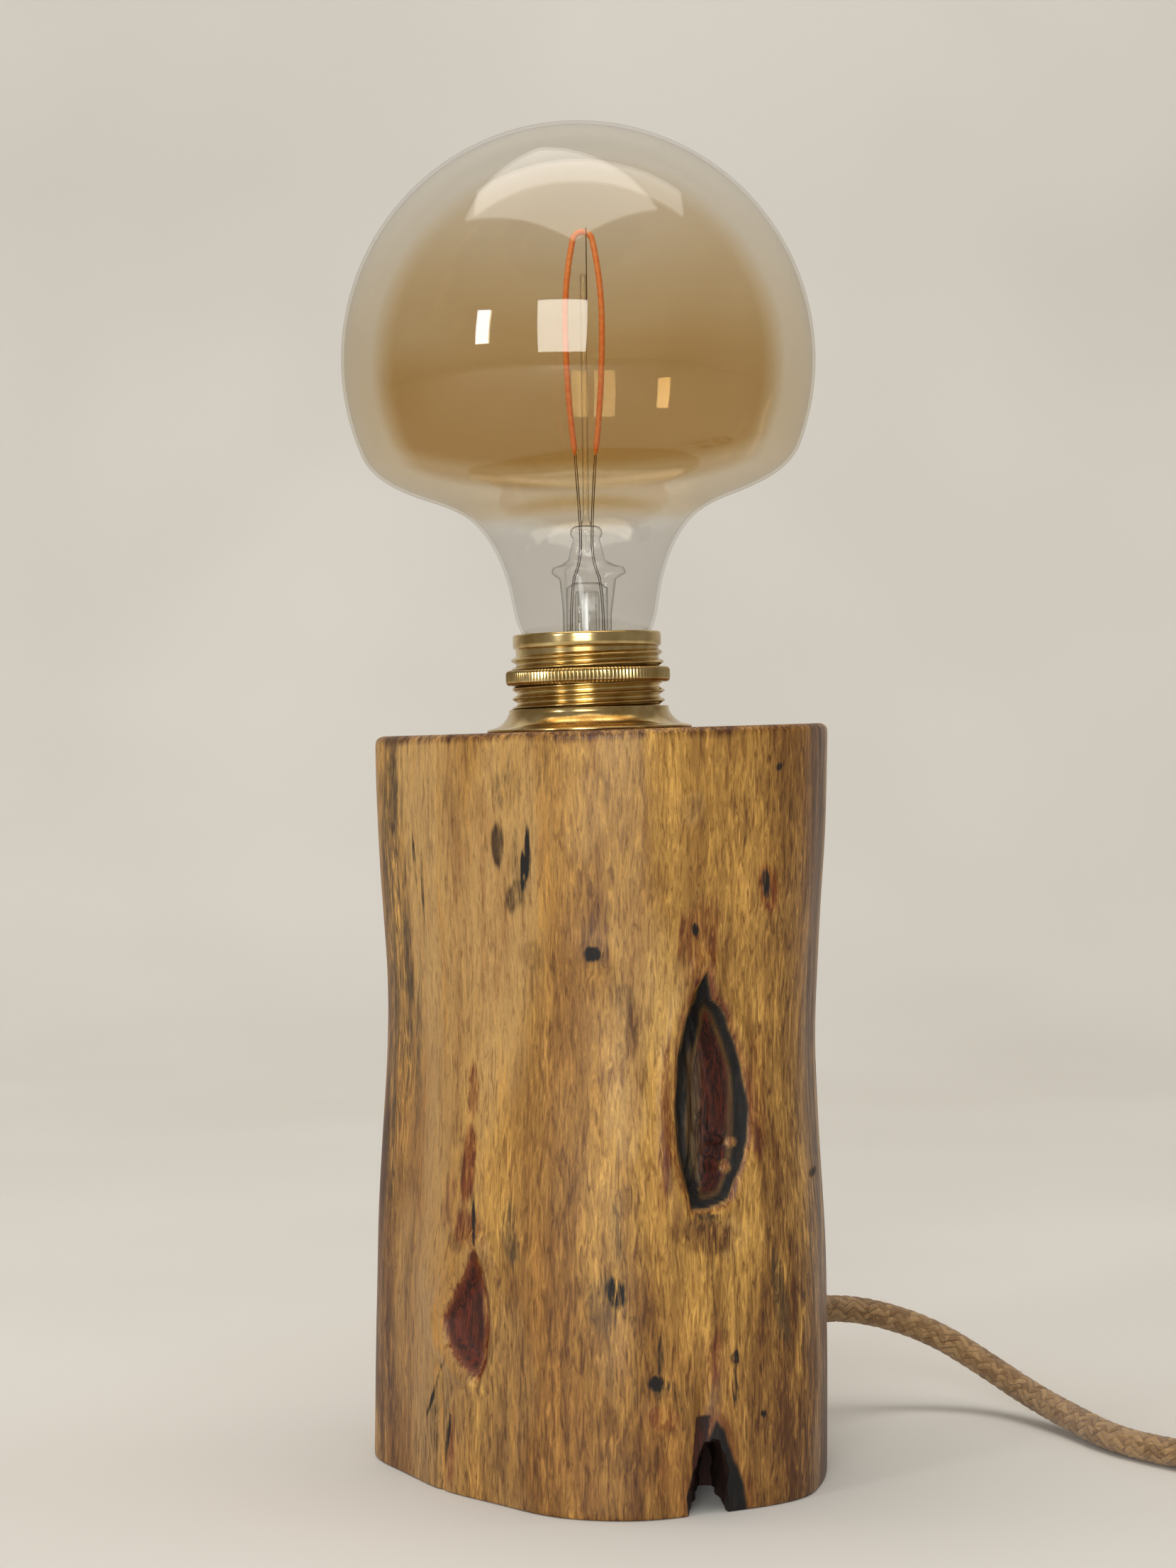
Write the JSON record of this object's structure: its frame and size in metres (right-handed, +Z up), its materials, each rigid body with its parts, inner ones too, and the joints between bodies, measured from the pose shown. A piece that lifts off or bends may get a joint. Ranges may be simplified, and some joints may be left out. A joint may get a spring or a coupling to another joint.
{
  "type": "table lamp",
  "caption": "Bare bulb table lamp: a large globe filament bulb screwed into a brass holder on a standing tree trunk, with a jute covered lead, inline rocker switch and flat plug.",
  "frame": {"origin": "middle of the trunk's foot, on the table", "axes": "+Z up, -Y towards the viewer of the picture (front), +X to the lamp's right as seen from the front"},
  "size_m": [0.4442, 0.139, 0.3498],
  "materials": {
    "timber": "satin, oiled",
    "rubber": "matte",
    "steel": "zinc plated",
    "brass": "polished, slightly aged",
    "nylon": "natural nylon",
    "porcelain": "glazed",
    "cap_metal": "nickel plated",
    "black_glass": "fused black glass",
    "amber_glass": "blown glass with an amber mirror coating above its clear neck",
    "clear_glass": "clear",
    "wire": "oxidised wire",
    "filament": "orange silicone coat over the diodes",
    "board": "laminate",
    "components": "moulded",
    "core_jacket": "insulated cores",
    "jute": "braided jute",
    "tie": "woven band",
    "black_plastic": "fine grain",
    "rocker": "gloss",
    "nickel": "nickel plated"
  },
  "bodies": {
    "lamp": {"log_body": "timber", "cord_bush": "rubber", "mounting_plate": "steel", "plate_screws": "steel", "insert_screws": "steel", "terminal_screws": "steel", "switch_screws": "steel", "rocker_pin": "steel", "threaded_nipple": "brass", "nipple_nut": "brass", "socket_cup": "brass", "socket_flange": "brass", "socket_skirt": "brass", "screw_shell": "brass", "centre_contact": "brass", "terminal_blocks": "brass", "switch_contacts": "brass", "cord_grip": "nylon", "porcelain_insert": "porcelain", "core_wires": "core_jacket", "switch_cores": "core_jacket", "inner_cord": "jute", "cord_to_switch": "jute", "cord_to_coil": "jute", "cord_to_plug": "jute", "cord_coil": "jute", "coil_tie": "tie", "switch_base": "black_plastic", "switch_cover": "black_plastic", "switch_sleeves": "black_plastic", "plug_body": "black_plastic", "plug_sleeve": "black_plastic", "pin_covers": "black_plastic", "plug_pins": "nickel"},
    "bulb_lift": {"bulb_centre_contact": "cap_metal"},
    "bulb": {"bulb_cap": "cap_metal", "cap_insulator": "black_glass", "bulb_glass": "amber_glass", "stem_glass": "clear_glass", "exhaust_tube": "clear_glass", "support_rod": "clear_glass", "anchor_wire": "wire", "led_filament": "filament", "lead_wires": "wire", "driver_board": "board", "driver_parts": "components"},
    "shade_ring": {"shade_ring": "brass"},
    "rocker": {"switch_rocker": "rocker", "contact_bridge": "brass"}
  },
  "joints": [
    {"name": "bulb_travel", "type": "slide", "parent": "lamp", "child": "bulb_lift", "axis": [-0.0305, 0, 0.9995], "range_m": [0, 0.01452]},
    {"name": "bulb_turn", "type": "hinge", "parent": "bulb_lift", "child": "bulb", "pos_m": [-0.0019, 0, 0.1915], "axis": [-0.0305, 0, 0.9995], "range_deg": [0, 1440]},
    {"name": "ring_travel", "type": "slide", "parent": "lamp", "child": "shade_ring", "axis": [-0.0305, 0, 0.9995], "range_m": [-0.0061, 0.0054]},
    {"name": "rocker_tip", "type": "hinge", "parent": "lamp", "child": "rocker", "pos_m": [0.2396, -0.026, 0.0118], "axis": [0, 1, 0], "range_deg": [0, 16]}
  ],
  "couplings": [
    {"joint": "bulb_travel", "follows": "bulb_turn", "m_per_rad": 0.00057757}
  ]
}
